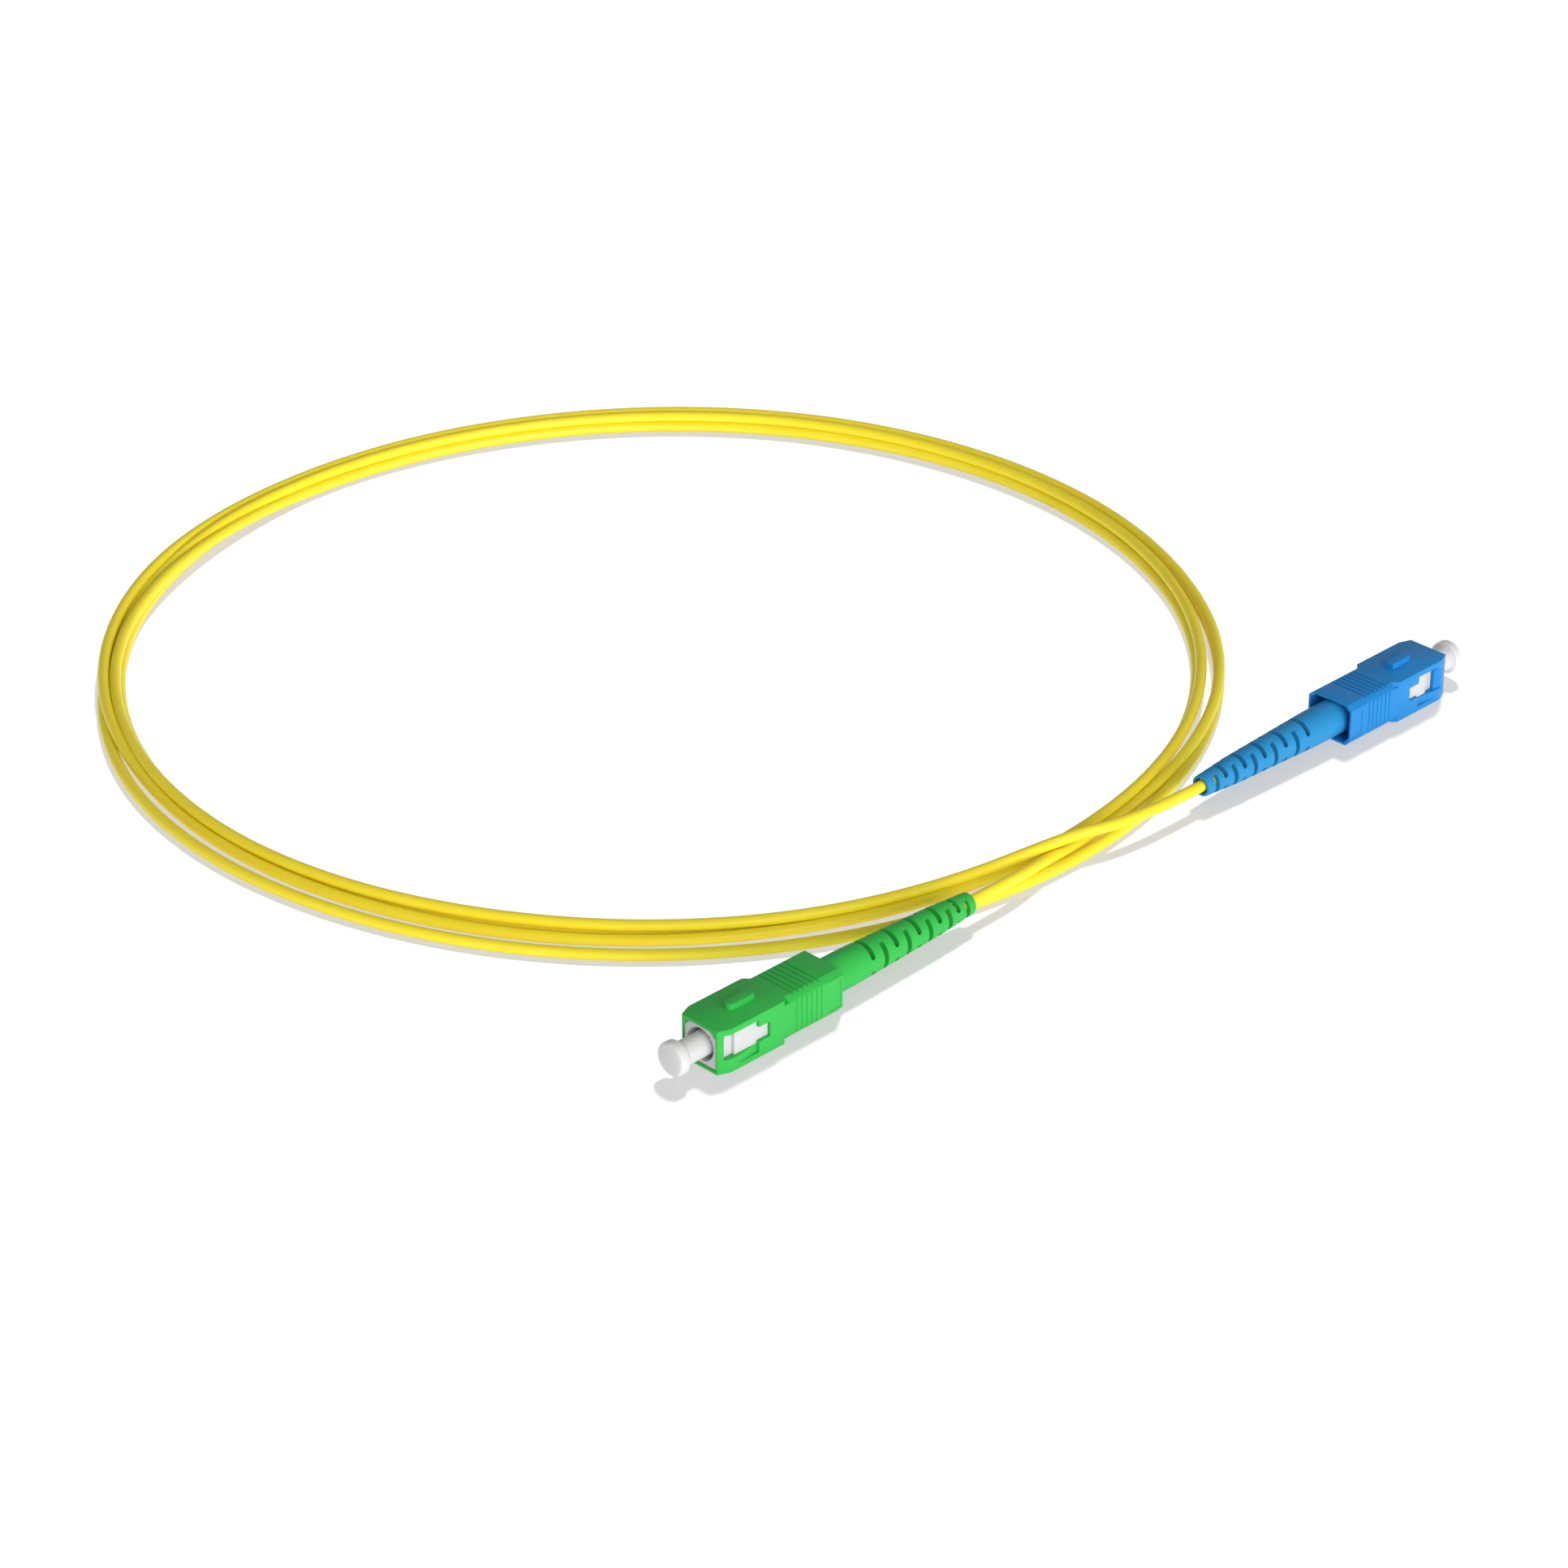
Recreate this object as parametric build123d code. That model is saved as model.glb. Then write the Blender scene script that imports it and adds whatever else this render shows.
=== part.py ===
"""Fibre optic patch cord: two push-pull plugs on one coiled simplex cable.

The two plugs lie tail to tail on a common line, the blue one facing +X and the green one
facing -X, and the cable between them is laid in a flat coil behind them, on +Y.
Units are millimetres. +Z is up and z = 0 is the surface that the cord lies on. The origin is
midway between the plugs' front faces.

Inside a plug, lengths are given as a depth behind the plug's front face. A plug is drawn
facing +X with its axis on the X axis, so a depth d lies at x = -d, and is then put in place.
"""
import math
import os

from build123d import *

# ---------------------------------------------------------------- whole cord
FACE_TO_FACE = 167.1          # distance between the two plugs' front faces
PLUG_OFFSET = 0.64            # each plug's axis is this far from the X axis

# ---------------------------------------------------------------- clearances
SLIDE_CLEAR = 0.05            # plug frame in the outer housing, each side
STOP_CLEAR = 0.05             # lug against the end of its window
FERRULE_CLEAR = 0.02          # ferrule in the dust cap
GUIDE_CLEAR = 0.20            # ferrule through the frame's inner wall, radial
SPRING_CLEAR = 0.03           # spring over the flange's tail, radial
BOOT_CLEAR = 0.3              # boot in the housing's rear opening, above and below
BORE_CLEAR = 0.05             # small tubes in the boot and round the fibre

# ---------------------------------------------------------------- outer housing
HOUSING_LENGTH = 25.3
HOUSING_WIDTH = 9.0
HOUSING_HEIGHT = 7.4
FRONT_LENGTH = 13.04          # the front part, whose long edges are square
NOSE_CHAMFER = (2.09, 0.85)   # along and across, at the front corners in plan
BEVEL = (0.98, 0.85)          # across and down, on the rear part's upper edges
UNDER_BEVEL = (1.0, 1.15)     # the same on its lower edges
FRONT_WALL = 0.5              # top and bottom walls of the front part
NOSE_WALL = 0.25              # side walls at the very front
REAR_WALL = 0.4
GRIP_FIRST = 15.55            # first grip groove
GRIP_PITCH = 1.04
GRIP_COUNT = 6
GRIP_WIDTH = 0.34
GRIP_DEPTH = 0.22             # across the top
GRIP_SIDE_DEPTH = 0.14        # down the sides
PANEL_START = 22.4            # shallow panel on each side of the grip
PANEL_END = 24.9
PANEL_DEPTH = 0.14
PANEL_MARGIN = (0.15, 0.5)    # below it and above it, on the flat of the side
KEY_START = 5.4
KEY_LENGTH = 5.0
KEY_WIDTH = 1.8
KEY_HEIGHT = 0.95
HOUSING_TRAVEL = 2.0          # pull back to release

# side windows: the tall part and the low rear part, heights from the axis
WINDOW_FRONT = {1: 1.1, -1: 3.3}
WINDOW_STEP = 7.85
WINDOW_REAR = 10.15
WINDOW_TALL = (-1.45, 2.7)
WINDOW_LOW = (-1.0, 1.5)
LUG_PROUD = 0.65              # how far the frame's lugs stand out into the windows
RAMP_START = 3.6              # wedge recess below each window
RAMP_DEPTH = 0.6
RAMP_LOW = -2.8

# ---------------------------------------------------------------- plug frame
FRAME_INSET = 0.2             # its front stands this far inside the housing's front
FRAME_SHOULDER = 14.85
FRAME_LENGTH = 21.3
FRAME_EDGE = 1.1              # chamfer along its upper edges
STUB_WIDTH = 6.0
STUB_HEIGHT = 5.5
NOSE_BORE = 5.4               # the round cavity round the ferrule
NOSE_BORE_DEPTH = 6.6
INNER_WALL = 1.4              # wall that the ferrule flange rests on
CHAMBER_CLEAR = 0.1           # flange in the chamber, radial

# ---------------------------------------------------------------- ferrule, flange, spring
FERRULE_DIA = 2.5
FERRULE_TIP = 0.9
FERRULE_LENGTH = 10.5
FERRULE_TIP_CHAMFER = 0.25
FIBRE_DIA = 0.125
FIBRE_HOLE = 0.126
BUFFER_DIA = 0.9
TAIL_WALL = 0.25              # the flange's tail round the ferrule
TAIL_DIA = FERRULE_DIA + 2 * TAIL_WALL
TAIL_LENGTH = 2.8
FLANGE_STEP = 0.6             # the flange stands out round its tail
FLANGE_DIA = TAIL_DIA + 2 * FLANGE_STEP
FLANGE_LENGTH = 2.2
FLANGE_SLOT = 0.8
CHAMBER_BORE = FLANGE_DIA + 2 * CHAMBER_CLEAR
GUIDE_TUBE_DIA = 1.5
GUIDE_TUBE_WALL = 0.25
GUIDE_TUBE_LENGTH = 8.1
GUIDE_TUBE_GRIP = 1.4         # length held in the flange's tail
SPRING_WIRE = 0.42
SPRING_TURNS = 6
SPRING_LENGTH = 6.7
FERRULE_TRAVEL = 1.0

# ---------------------------------------------------------------- rear body and crimp
STOP_GRIP = 4.6               # length of the rear body inside the frame
STOP_RIM = 0.25               # its flange stands out past the frame's bore
STOP_FLANGE_DIA = CHAMBER_BORE + 2 * STOP_RIM
STOP_FLANGE_LENGTH = 0.9
STOP_NECK_DIA = 3.4
STOP_NECK_LENGTH = 5.6
STOP_BORE = 2.0
KNURL_COUNT = 5
KNURL_PITCH = 0.9
KNURL_DEPTH = 0.1
YARN_LAYER = 0.15
YARN_START = 0.6              # bare neck in front of the yarn
CRIMP_WALL = 0.25
CRIMP_CONE = 1.1
CRIMP_TAIL = 2.6
CRIMP_TAIL_WALL = 0.3

# ---------------------------------------------------------------- cable and boot
CABLE_DIA = 1.9
JACKET_WALL = 0.33
FIBRE_IN_JACKET = 2.0         # buffered fibre drawn this far into the jacket
BOOT_FRONT_DIA = HOUSING_HEIGHT - 2 * (REAR_WALL + BOOT_CLEAR)
BOOT_MIDDLE_DIA = 4.65
BOOT_MOUTH_DIA = 3.6
BOOT_MOUTH_BORE = 2.7
BOOT_VISIBLE = 31.95          # length behind the housing
BOOT_STRAIGHT = 5.0           # straight behind the housing, then tapered
BOOT_MIDDLE = 24.5            # where the taper steepens
BOOT_CONE = 1.2               # where the bore narrows behind the crimp
SLOT_FIRST = 8.5              # first slot behind the housing
SLOT_PITCH_FIRST = 2.7
SLOT_PITCH_LAST = 2.07
SLOT_COUNT = 10
SLOT_WIDTH = 0.9
SLOT_ARC = 140                # degrees round the boot

# ---------------------------------------------------------------- dust cap
CAP_HEAD_DIA = 5.5
CAP_HEAD_LENGTH = 1.9
CAP_HEAD_ROUND = 0.45
CAP_SHOULDER = 1.0
CAP_NECK_DIA = 3.95
CAP_GAP = 3.4                 # between the shoulder and the housing's front
CAP_INSERT = 5.5              # depth of its open end behind the housing's front
CAP_END_WALL = 0.3            # room between the ferrule's tip and the blind end
CAP_TRAVEL = 16.0

# ---------------------------------------------------------------- coil of cable
COIL_CENTRE_Y = 95.6
COIL_OUTER = (97.6, 94.3)     # half axes of the outside, the long one towards +X +Y
COIL_INNER = (86.8, 88.6)
COIL_HEIGHT = 3.9
COIL_EDGE = 1.7               # rounding of the bundle's edges
COIL_TILT = 45                # direction of the long axis, degrees from +X

# each lead runs from its boot's mouth along the plug's axis and then down into the coil: the points
# after the mouth, (x, y, z)
BLUE_LEAD_POINTS = [(19.6, -0.64, 3.7), (12.6, -0.3, 3.3), (5.8, 0.8, 2.6)]
GREEN_LEAD_POINTS = [(-19.6, 0.64, 3.7), (-12.6, 1.2, 3.2), (-5.8, 2.6, 2.4)]

# ---------------------------------------------------------------- derived sizes
HALF_HEIGHT = HOUSING_HEIGHT / 2
HALF_WIDTH = HOUSING_WIDTH / 2
CAVITY_HALF = HALF_WIDTH - NOSE_CHAMFER[1] - NOSE_WALL
CAVITY_TOP = HALF_HEIGHT - FRONT_WALL
CAVITY_STEP = FRAME_SHOULDER + STOP_CLEAR
FRAME_HALF = CAVITY_HALF - SLIDE_CLEAR
FRAME_TOP = CAVITY_TOP - SLIDE_CLEAR
FRAME_END = FRAME_INSET + FRAME_LENGTH
CHAMBER_START = NOSE_BORE_DEPTH + INNER_WALL
FLANGE_END = CHAMBER_START + FLANGE_LENGTH
TAIL_END = FLANGE_END + TAIL_LENGTH
FERRULE_END = FERRULE_TIP + FERRULE_LENGTH
GUIDE_START = TAIL_END - GUIDE_TUBE_GRIP
GUIDE_END = GUIDE_START + GUIDE_TUBE_LENGTH
SPRING_END = FLANGE_END + SPRING_LENGTH
SPRING_RADIUS = TAIL_DIA / 2 + SPRING_CLEAR + SPRING_WIRE / 2
STOP_SHOULDER = FRAME_END
STOP_START = STOP_SHOULDER - STOP_GRIP
NECK_START = STOP_SHOULDER + STOP_FLANGE_LENGTH
NECK_END = NECK_START + STOP_NECK_LENGTH
YARN_FRONT = NECK_START + YARN_START
YARN_RADIUS = STOP_NECK_DIA / 2 + YARN_LAYER
JACKET_START = NECK_END + YARN_LAYER
JACKET_BORE = CABLE_DIA - 2 * JACKET_WALL
CRIMP_RADIUS = YARN_RADIUS + CRIMP_WALL
CRIMP_CONE_END = JACKET_START + CRIMP_CONE
CRIMP_END = CRIMP_CONE_END + CRIMP_TAIL
CRIMP_TAIL_RADIUS = CABLE_DIA / 2 + CRIMP_TAIL_WALL
BOOT_END = HOUSING_LENGTH + BOOT_VISIBLE
BOOT_START = NECK_START
FACE_X = FACE_TO_FACE / 2
MOUTH_X = FACE_X - BOOT_END

parts = {}


# ---------------------------------------------------------------- shapes used throughout
def rod(front, rear, diameter):
    """A round bar along the plug's axis, between two depths."""
    middle = -(front + rear) / 2
    return Pos(middle, 0, 0) * Rot(0, 90, 0) * Cylinder(diameter / 2, rear - front)


def bar(front, rear, y_low, y_high, z_low, z_high):
    """A rectangular block between two depths."""
    centre = Pos(-(front + rear) / 2, (y_low + y_high) / 2, (z_low + z_high) / 2)
    return centre * Box(rear - front, y_high - y_low, z_high - z_low)


def turned(outline):
    """A solid of revolution about the plug's axis, from (depth, radius) corners."""
    corners = [(-depth, radius) for depth, radius in outline]
    face = make_face(Polyline(*corners, close=True))
    return revolve(face, axis=Axis.X)


def plan_prism(outline, z_low, z_high):
    """A prism upright on a plan outline of (depth, y) corners."""
    corners = [(-depth, y) for depth, y in outline]
    face = make_face(Polyline(*corners, close=True))
    return Pos(0, 0, z_low) * extrude(face, z_high - z_low)


def section_prism(outline, front, rear):
    """A prism along the plug's axis on a section outline of (y, z) corners."""
    face = make_face(Polyline(*outline, close=True))
    return Plane(origin=(-rear, 0, 0), x_dir=(0, 1, 0), z_dir=(1, 0, 0)) * extrude(face, rear - front)


def mirrored(shape):
    """A shape and its mirror image on the plug's other side."""
    return shape + mirror(shape, about=Plane.XZ)


# ---------------------------------------------------------------- outer housing
def edge_cut(across, down, level, up):
    """A bevel's waste along one long edge, from a corner at 45 degrees in plan to the rear end."""
    past_end = HOUSING_LENGTH + 1
    low, high = sorted((level, level - up * down))
    corner = [(FRONT_LENGTH, HALF_WIDTH), (FRONT_LENGTH + across, HALF_WIDTH - across),
              (FRONT_LENGTH + across, HALF_WIDTH + 1), (FRONT_LENGTH, HALF_WIDTH + 1)]
    edge = [(HALF_WIDTH + 1, level), (HALF_WIDTH - across, level),
            (HALF_WIDTH, level - up * down), (HALF_WIDTH + 1, level - up * down)]
    return plan_prism(corner, low, high) + section_prism(edge, FRONT_LENGTH + across, past_end)


def housing_shell():
    """The housing's outer form, solid: a block with a chamfered nose and a bevelled rear part."""
    nose = HALF_WIDTH - NOSE_CHAMFER[1]
    plan = [
        (0, -nose), (NOSE_CHAMFER[0], -HALF_WIDTH), (HOUSING_LENGTH, -HALF_WIDTH),
        (HOUSING_LENGTH, HALF_WIDTH), (NOSE_CHAMFER[0], HALF_WIDTH), (0, nose),
    ]
    shell = plan_prism(plan, -HALF_HEIGHT, HALF_HEIGHT)
    shell -= mirrored(edge_cut(*BEVEL, HALF_HEIGHT, 1))
    return shell - mirrored(edge_cut(*UNDER_BEVEL, -HALF_HEIGHT, -1))


def housing_cavity():
    """The room inside the housing, open at both ends."""
    edge = FRAME_EDGE
    front = [
        (-CAVITY_HALF, -CAVITY_TOP), (CAVITY_HALF, -CAVITY_TOP),
        (CAVITY_HALF, CAVITY_TOP - edge), (CAVITY_HALF - edge, CAVITY_TOP),
        (-CAVITY_HALF + edge, CAVITY_TOP), (-CAVITY_HALF, CAVITY_TOP - edge),
    ]
    half, top = HALF_WIDTH - REAR_WALL, HALF_HEIGHT - REAR_WALL
    rear = [
        (half - UNDER_BEVEL[0], -top), (half, -top + UNDER_BEVEL[1]), (half, top - BEVEL[1]),
        (half - BEVEL[0], top), (-half + BEVEL[0], top), (-half, top - BEVEL[1]),
        (-half, -top + UNDER_BEVEL[1]), (-half + UNDER_BEVEL[0], -top),
    ]
    opening = section_prism(front, -1, CAVITY_STEP)
    return opening + section_prism(rear, CAVITY_STEP, HOUSING_LENGTH + 1)


def housing_window(side):
    """One side's window, with the ramp in front of it and the wedge recess below it."""
    front = WINDOW_FRONT[side]
    near, far = sorted((side * (CAVITY_HALF - FRAME_EDGE), side * (HALF_WIDTH + 0.5)))
    cut = bar(front, WINDOW_STEP, near, far, *WINDOW_TALL)
    cut += bar(WINDOW_STEP - 0.01, WINDOW_REAR, near, far, *WINDOW_LOW)
    ramp_low, ramp_high = WINDOW_TALL[0], WINDOW_TALL[1] - 0.5
    ramp = [(front - 2.6, side * HALF_WIDTH), (front + 0.4, side * HALF_WIDTH),
            (front + 0.4, side * (HALF_WIDTH - RAMP_DEPTH))]
    cut += plan_prism(ramp, ramp_low, ramp_high)
    lead_in = [(RAMP_START, side * HALF_WIDTH), (WINDOW_STEP, side * HALF_WIDTH),
               (WINDOW_STEP, side * (HALF_WIDTH - RAMP_DEPTH))]
    return cut + plan_prism(lead_in, RAMP_LOW, WINDOW_TALL[0] + 0.01)


def housing_grip():
    """Grooves across the top, others down the flats of the sides, and a panel on each side."""
    side_low, side_high = -HALF_HEIGHT + UNDER_BEVEL[1], HALF_HEIGHT - BEVEL[1]
    panel = bar(PANEL_START, PANEL_END, HALF_WIDTH - PANEL_DEPTH, HALF_WIDTH + 1,
                side_low + PANEL_MARGIN[0], side_high - PANEL_MARGIN[1])
    cuts = mirrored(panel)
    for k in range(GRIP_COUNT):
        start = GRIP_FIRST + k * GRIP_PITCH - GRIP_WIDTH / 2
        end = start + GRIP_WIDTH
        cuts += bar(start, end, -HALF_WIDTH, HALF_WIDTH, HALF_HEIGHT - GRIP_DEPTH, HALF_HEIGHT + 1)
        cuts += mirrored(bar(start, end, HALF_WIDTH - GRIP_SIDE_DEPTH, HALF_WIDTH + 1,
                             side_low, side_high))
    return cuts


def make_outer_housing():
    """The grip that slides on the plug frame, with the key on top."""
    body = housing_shell() - housing_cavity()
    body -= housing_window(1)
    body -= housing_window(-1)
    body -= housing_grip()
    key_rear = KEY_START + KEY_LENGTH
    nose_centre = KEY_START + KEY_WIDTH / 2
    low, high = HALF_HEIGHT - FRONT_WALL / 2, HALF_HEIGHT + KEY_HEIGHT
    key = bar(nose_centre, key_rear, -KEY_WIDTH / 2, KEY_WIDTH / 2, low, high)
    key += Pos(-nose_centre, 0, (low + high) / 2) * Cylinder(KEY_WIDTH / 2, high - low)
    return body + key


# ---------------------------------------------------------------- inside the plug
def make_plug_frame():
    """The white frame that carries the ferrule and snaps into an adapter."""
    edge = FRAME_EDGE
    section = [
        (-FRAME_HALF, -FRAME_TOP), (FRAME_HALF, -FRAME_TOP),
        (FRAME_HALF, FRAME_TOP - edge), (FRAME_HALF - edge, FRAME_TOP),
        (-FRAME_HALF + edge, FRAME_TOP), (-FRAME_HALF, FRAME_TOP - edge),
    ]
    frame = section_prism(section, FRAME_INSET, FRAME_SHOULDER)
    stub = bar(FRAME_SHOULDER, FRAME_END, -STUB_WIDTH / 2, STUB_WIDTH / 2,
               -STUB_HEIGHT / 2, STUB_HEIGHT / 2)
    frame += stub & section_prism(section, FRAME_SHOULDER, FRAME_END)
    for side in (1, -1):
        lug_front = WINDOW_FRONT[side] + HOUSING_TRAVEL + 2 * STOP_CLEAR
        inner, outer = side * (FRAME_HALF - FRAME_EDGE), side * (FRAME_HALF + LUG_PROUD)
        near, far = sorted((inner, outer))
        tall_low, tall_high = WINDOW_TALL[0] + SLIDE_CLEAR, WINDOW_TALL[1] - SLIDE_CLEAR
        frame += bar(lug_front, WINDOW_STEP - STOP_CLEAR, near, far, tall_low, tall_high)
        frame += bar(WINDOW_STEP - 2 * STOP_CLEAR, WINDOW_REAR - STOP_CLEAR, near, far,
                     WINDOW_LOW[0] + SLIDE_CLEAR, WINDOW_LOW[1] - SLIDE_CLEAR)
    frame -= rod(FRAME_INSET - 1, NOSE_BORE_DEPTH, NOSE_BORE)
    frame -= rod(NOSE_BORE_DEPTH - 1, CHAMBER_START + 1, FERRULE_DIA + 2 * GUIDE_CLEAR)
    return frame - rod(CHAMBER_START, FRAME_END + 1, CHAMBER_BORE)


def make_ferrule():
    """The zirconia ferrule, with the fine hole for the bare fibre along it."""
    radius, tip = FERRULE_DIA / 2, FERRULE_TIP
    cut = FERRULE_TIP_CHAMFER
    outline = [
        (tip, FIBRE_HOLE / 2), (tip, radius - cut), (tip + cut, radius),
        (FERRULE_END, radius), (FERRULE_END, FIBRE_HOLE / 2),
    ]
    return turned(outline)


def make_ferrule_flange():
    """The flange pressed on the ferrule, with four slots that key it in the frame."""
    flange = rod(CHAMBER_START, FLANGE_END, FLANGE_DIA) + rod(FLANGE_END, TAIL_END, TAIL_DIA)
    flange -= rod(CHAMBER_START - 1, FERRULE_END, FERRULE_DIA)
    flange -= rod(FERRULE_END - 1, GUIDE_START, BUFFER_DIA + 2 * BORE_CLEAR)
    flange -= rod(GUIDE_START, TAIL_END + 1, GUIDE_TUBE_DIA)
    slot_depth = (FLANGE_DIA - TAIL_DIA) / 2
    for angle in (0, 90, 180, 270):
        slot = bar(CHAMBER_START - 1, FLANGE_END - 0.5, FLANGE_DIA / 2 - slot_depth, FLANGE_DIA,
                   -FLANGE_SLOT / 2, FLANGE_SLOT / 2)
        flange -= Rot(angle, 0, 0) * slot
    return flange


def make_fibre():
    """The buffered fibre, stripped to the bare glass where it lies in the ferrule."""
    outline = [
        (FERRULE_TIP, 0), (FERRULE_TIP, FIBRE_DIA / 2), (FERRULE_END, FIBRE_DIA / 2),
        (FERRULE_END, BUFFER_DIA / 2), (JACKET_START + FIBRE_IN_JACKET, BUFFER_DIA / 2),
        (JACKET_START + FIBRE_IN_JACKET, 0),
    ]
    return turned(outline)


def make_guide_tube():
    """The soft tube that leads the buffered fibre through the spring."""
    inner = GUIDE_TUBE_DIA - 2 * GUIDE_TUBE_WALL
    return rod(GUIDE_START, GUIDE_END, GUIDE_TUBE_DIA) - rod(GUIDE_START - 1, GUIDE_END + 1, inner)


def make_spring():
    """The spring that pushes the ferrule forward against the frame's inner wall."""
    rise = SPRING_LENGTH - SPRING_WIRE
    path = Helix(pitch=rise / SPRING_TURNS, height=rise, radius=SPRING_RADIUS)
    start = Plane(origin=path @ 0, z_dir=path % 0)
    wire = sweep(start * Circle(SPRING_WIRE / 2), path=path, is_frenet=True)
    return Pos(-(FLANGE_END + SPRING_WIRE / 2), 0, 0) * Rot(0, -90, 0) * wire


def make_stop_ring():
    """The rear body: it backs the spring, closes the frame and carries the crimp."""
    ring = rod(STOP_START, STOP_SHOULDER, CHAMBER_BORE)
    ring += rod(STOP_SHOULDER, NECK_START, STOP_FLANGE_DIA)
    ring += rod(NECK_START, NECK_END, STOP_NECK_DIA)
    for k in range(KNURL_COUNT):
        start = YARN_FRONT + 0.3 + k * KNURL_PITCH
        groove = rod(start, start + KNURL_PITCH / 2, STOP_NECK_DIA + 1)
        ring -= groove - rod(start - 1, start + 1, STOP_NECK_DIA - 2 * KNURL_DEPTH)
    return ring - rod(STOP_START - 1, NECK_END + 1, STOP_BORE)


def make_aramid_yarn():
    """The cable's aramid yarn, folded back over the rear body's neck as one layer."""
    neck = STOP_NECK_DIA / 2
    outline = [
        (YARN_FRONT, neck), (YARN_FRONT, YARN_RADIUS), (JACKET_START, YARN_RADIUS),
        (JACKET_START, JACKET_BORE / 2), (NECK_END, JACKET_BORE / 2), (NECK_END, neck),
    ]
    return turned(outline)


def make_crimp_sleeve():
    """The metal sleeve crimped over the yarn, with a narrow tail on the jacket."""
    cable = CABLE_DIA / 2
    outline = [
        (YARN_FRONT, YARN_RADIUS), (YARN_FRONT, CRIMP_RADIUS), (JACKET_START, CRIMP_RADIUS),
        (CRIMP_CONE_END, CRIMP_TAIL_RADIUS), (CRIMP_END, CRIMP_TAIL_RADIUS),
        (CRIMP_END, cable), (CRIMP_CONE_END - 0.3, cable), (JACKET_START, YARN_RADIUS - 0.2),
        (JACKET_START, YARN_RADIUS),
    ]
    return turned(outline)


def make_cable_end():
    """The yellow jacket inside the boot, up to the boot's mouth."""
    return rod(JACKET_START, BOOT_END, CABLE_DIA) - rod(JACKET_START - 1, BOOT_END + 1, JACKET_BORE)


def boot_slot(depth, quarter):
    """Two slots at one depth, on opposite sides; quarter turns them by 90 degrees."""
    outer = rod(depth - SLOT_WIDTH / 2, depth + SLOT_WIDTH / 2, BOOT_FRONT_DIA + 1)
    reach = BOOT_FRONT_DIA
    edge = math.radians((180 - SLOT_ARC) / 2)
    wedge = [(0, 0), (reach * math.cos(edge), reach * math.sin(edge)), (0, 2 * reach),
             (-reach * math.cos(edge), reach * math.sin(edge))]
    fan = section_prism(wedge, depth - SLOT_WIDTH, depth + SLOT_WIDTH)
    upper = outer & fan
    pair = upper + mirror(upper, about=Plane.XY)
    return Rot(90 * quarter, 0, 0) * pair


def make_boot():
    """The bend relief: a tapered rubber sleeve with rings of slots that let it bend."""
    crimp, mouth = CRIMP_RADIUS, BOOT_MOUTH_BORE / 2
    outline = [
        (BOOT_START, crimp), (BOOT_START, BOOT_FRONT_DIA / 2),
        (HOUSING_LENGTH + BOOT_STRAIGHT, BOOT_FRONT_DIA / 2),
        (HOUSING_LENGTH + BOOT_MIDDLE, BOOT_MIDDLE_DIA / 2), (BOOT_END, BOOT_MOUTH_DIA / 2),
        (BOOT_END, mouth), (JACKET_START + BOOT_CONE, mouth), (JACKET_START, crimp),
    ]
    boot = turned(outline)
    depth = HOUSING_LENGTH + SLOT_FIRST
    for k in range(SLOT_COUNT):
        boot -= boot_slot(depth, k % 2)
        step = k / (SLOT_COUNT - 2)
        depth += SLOT_PITCH_FIRST + step * (SLOT_PITCH_LAST - SLOT_PITCH_FIRST)
    return boot


def make_dust_cap():
    """The translucent cap that slips over the ferrule and shields its tip."""
    head_rear = -CAP_GAP - CAP_SHOULDER
    head_front = head_rear - CAP_HEAD_LENGTH
    head = rod(head_front, head_rear, CAP_HEAD_DIA)
    head = fillet(head.edges().sort_by(Axis.X)[-1], CAP_HEAD_ROUND)
    shoulder = turned([
        (head_rear, 0), (head_rear, CAP_HEAD_DIA / 2),
        (-CAP_GAP - CAP_SHOULDER / 3, CAP_NECK_DIA / 2 + 0.15), (-CAP_GAP, CAP_NECK_DIA / 2),
        (-CAP_GAP, 0),
    ])
    cap = head + shoulder + rod(-CAP_GAP, CAP_INSERT, CAP_NECK_DIA)
    blind = FERRULE_TIP - CAP_END_WALL
    return cap - rod(blind, CAP_INSERT + 1, FERRULE_DIA + 2 * FERRULE_CLEAR)


PLUG_PIECES = {
    "outer_housing": make_outer_housing,
    "plug_frame": make_plug_frame,
    "ferrule": make_ferrule,
    "ferrule_flange": make_ferrule_flange,
    "fibre": make_fibre,
    "guide_tube": make_guide_tube,
    "spring": make_spring,
    "stop_ring": make_stop_ring,
    "aramid_yarn": make_aramid_yarn,
    "crimp_sleeve": make_crimp_sleeve,
    "cable_end": make_cable_end,
    "boot": make_boot,
    "dust_cap": make_dust_cap,
}
PLUG_PLACES = {
    "blue": Pos(FACE_X, -PLUG_OFFSET, HALF_HEIGHT),
    "green": Pos(-FACE_X, PLUG_OFFSET, HALF_HEIGHT) * Rot(0, 0, 180),
}
for piece, make in PLUG_PIECES.items():
    shape = make()
    for colour, place in PLUG_PLACES.items():
        parts[f"{colour}_{piece}"] = place * shape


# ---------------------------------------------------------------- cable
def make_coil():
    """The outer shape of the loose turns of cable: a slightly oval, round-edged ring."""
    outer = Rot(0, 0, COIL_TILT) * Ellipse(*COIL_OUTER)
    inner = Rot(0, 0, COIL_TILT) * Ellipse(*COIL_INNER)
    ring = extrude(outer - inner, COIL_HEIGHT)
    ring = fillet(ring.edges(), COIL_EDGE)
    return Pos(0, COIL_CENTRE_Y, 0) * ring


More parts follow.
